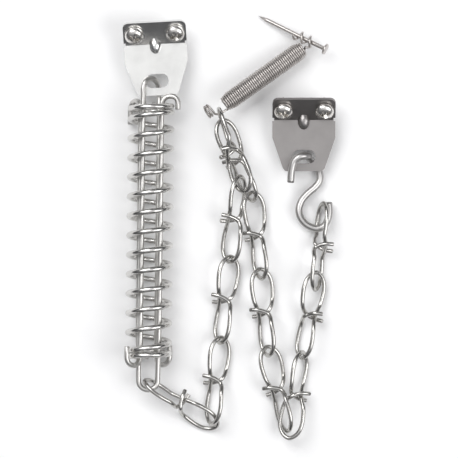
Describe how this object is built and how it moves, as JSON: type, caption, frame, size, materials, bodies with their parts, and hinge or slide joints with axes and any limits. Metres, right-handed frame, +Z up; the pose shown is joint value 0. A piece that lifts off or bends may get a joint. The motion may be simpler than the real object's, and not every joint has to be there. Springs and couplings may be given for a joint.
{
  "type": "storm door chain guard",
  "caption": "Storm door chain guard laid flat: drawbar compression spring and double-loop wire chain between screw brackets, with an S-hook and a keeper spring held by a nail.",
  "frame": {"origin": "centre of the bounding box at its base, on the surface the set lies on", "axes": "+Z up from the surface; +Y along the drawbar spring, towards the bracket at its end; +X from the drawbar spring to the other bracket"},
  "size_m": [0.0928, 0.1858, 0.0206],
  "materials": {
    "bracket_plate": "zinc-plated sheet steel, bright with a faint grain",
    "screw_plate": "bright zinc-plated screw",
    "spring_wire": "bright zinc-plated spring wire",
    "drawbar_wire": "bright zinc-plated drawn wire",
    "chain_wire": "bright zinc-plated drawn wire",
    "hook_wire": "zinc-plated wire, soft sheen",
    "keeper_wire": "grey satin spring wire",
    "nail_steel": "bright drawn nail wire"
  },
  "bodies": {
    "left_mount": {"left_bracket": "bracket_plate", "left_screw_a": "screw_plate", "left_screw_b": "screw_plate"},
    "upper_bar": {"upper_drawbar": "drawbar_wire", "compression_spring": "spring_wire"},
    "lower_bar": {"lower_drawbar": "drawbar_wire"},
    "keeper": {"keeper_spring": "keeper_wire"},
    "nail": {"nail": "nail_steel"},
    "hook": {"s_hook": "hook_wire"},
    "right_mount": {"right_bracket": "bracket_plate", "right_screw_a": "screw_plate", "right_screw_b": "screw_plate"},
    "link_01": {"chain_link_01": "chain_wire"},
    "link_02": {"chain_link_02": "chain_wire"},
    "link_03": {"chain_link_03": "chain_wire"},
    "link_04": {"chain_link_04": "chain_wire"},
    "link_05": {"chain_link_05": "chain_wire"},
    "link_06": {"chain_link_06": "chain_wire"},
    "link_07": {"chain_link_07": "chain_wire"},
    "link_08": {"chain_link_08": "chain_wire"},
    "link_09": {"chain_link_09": "chain_wire"},
    "link_10": {"chain_link_10": "chain_wire"},
    "link_11": {"chain_link_11": "chain_wire"},
    "link_12": {"chain_link_12": "chain_wire"}
  },
  "joints": [
    {"name": "drawbar_swing", "type": "hinge", "parent": "left_mount", "child": "upper_bar", "pos_m": [-0.03276, 0.06479, 0.0093], "axis": [0, 0, 1], "range_deg": [-8, 8]},
    {"name": "spring_stroke", "type": "slide", "parent": "upper_bar", "child": "lower_bar", "axis": [-0.0119, -0.9999, 0], "range_m": [0, 0.06], "stiffness_N_per_m": 4400, "deforming": ["compression_spring"]},
    {"name": "link_01_hinge", "type": "hinge", "parent": "lower_bar", "child": "link_01", "pos_m": [-0.03631, -0.0688, 0.01063], "axis": [0, 0, 1], "range_deg": [-6, 4]},
    {"name": "link_02_hinge", "type": "hinge", "parent": "link_01", "child": "link_02", "pos_m": [-0.0066, -0.08647, 0.0042], "axis": [0, 0, -1], "range_deg": [-3, 6]},
    {"name": "link_03_hinge", "type": "hinge", "parent": "link_02", "child": "link_03", "pos_m": [-0.00364, -0.04919, 0.00519], "axis": [0, 0, 1], "range_deg": [-6, 4]},
    {"name": "link_04_hinge", "type": "hinge", "parent": "link_03", "child": "link_04", "pos_m": [0.00034, -0.01378, 0.0052], "axis": [0, 0, -1], "range_deg": [-5, 6]},
    {"name": "link_05_hinge", "type": "hinge", "parent": "link_04", "child": "link_05", "pos_m": [0.0061, 0.01914, 0.01265], "axis": [0, 0, 1], "range_deg": [-3.5, 5]},
    {"name": "link_06_hinge", "type": "hinge", "parent": "link_05", "child": "link_06", "pos_m": [-0.00357, 0.04689, 0.00959], "axis": [0, 0, -1], "range_deg": [-1.5, 1]},
    {"name": "link_07_hinge", "type": "hinge", "parent": "link_06", "child": "link_07", "pos_m": [0.01034, 0.01376, 0.00504], "axis": [0, 0, 1], "range_deg": [-5, 6]},
    {"name": "link_08_hinge", "type": "hinge", "parent": "link_07", "child": "link_08", "pos_m": [0.01395, -0.02011, 0.0054], "axis": [0, 0, -1], "range_deg": [-5, 6]},
    {"name": "link_09_hinge", "type": "hinge", "parent": "link_08", "child": "link_09", "pos_m": [0.01696, -0.05397, 0.00535], "axis": [0, 0, 1], "range_deg": [-6, 4]},
    {"name": "link_10_hinge", "type": "hinge", "parent": "link_09", "child": "link_10", "pos_m": [0.0258, -0.0905, 0.00625], "axis": [0, 0, -1], "range_deg": [-3, 6]},
    {"name": "link_11_hinge", "type": "hinge", "parent": "link_10", "child": "link_11", "pos_m": [0.03197, -0.05571, 0.00532], "axis": [0, 0, 1], "range_deg": [-6, 5]},
    {"name": "link_12_hinge", "type": "hinge", "parent": "link_11", "child": "link_12", "pos_m": [0.038, -0.0233, 0.00578], "axis": [0, 0, -1], "range_deg": [-8, 8]},
    {"name": "hook_swing", "type": "hinge", "parent": "link_12", "child": "hook", "pos_m": [0.03839, 0.00029, 0.005], "axis": [0, 0, 1], "range_deg": [-8, 2.5]},
    {"name": "right_mount_swing", "type": "hinge", "parent": "hook", "child": "right_mount", "pos_m": [0.03484, 0.03099, 0.006], "axis": [0, 0, -1], "range_deg": [-10, 10]},
    {"name": "keeper_swing", "type": "hinge", "parent": "link_05", "child": "keeper", "pos_m": [-0.00383, 0.04976, 0.0111], "axis": [0, 0, -1], "range_deg": [-8, 8]},
    {"name": "keeper_stretch", "type": "slide", "parent": "keeper", "child": "nail", "axis": [0.8141, 0.5807, 0], "range_m": [0, 0.025], "stiffness_N_per_m": 720, "deforming": ["keeper_spring"]}
  ]
}
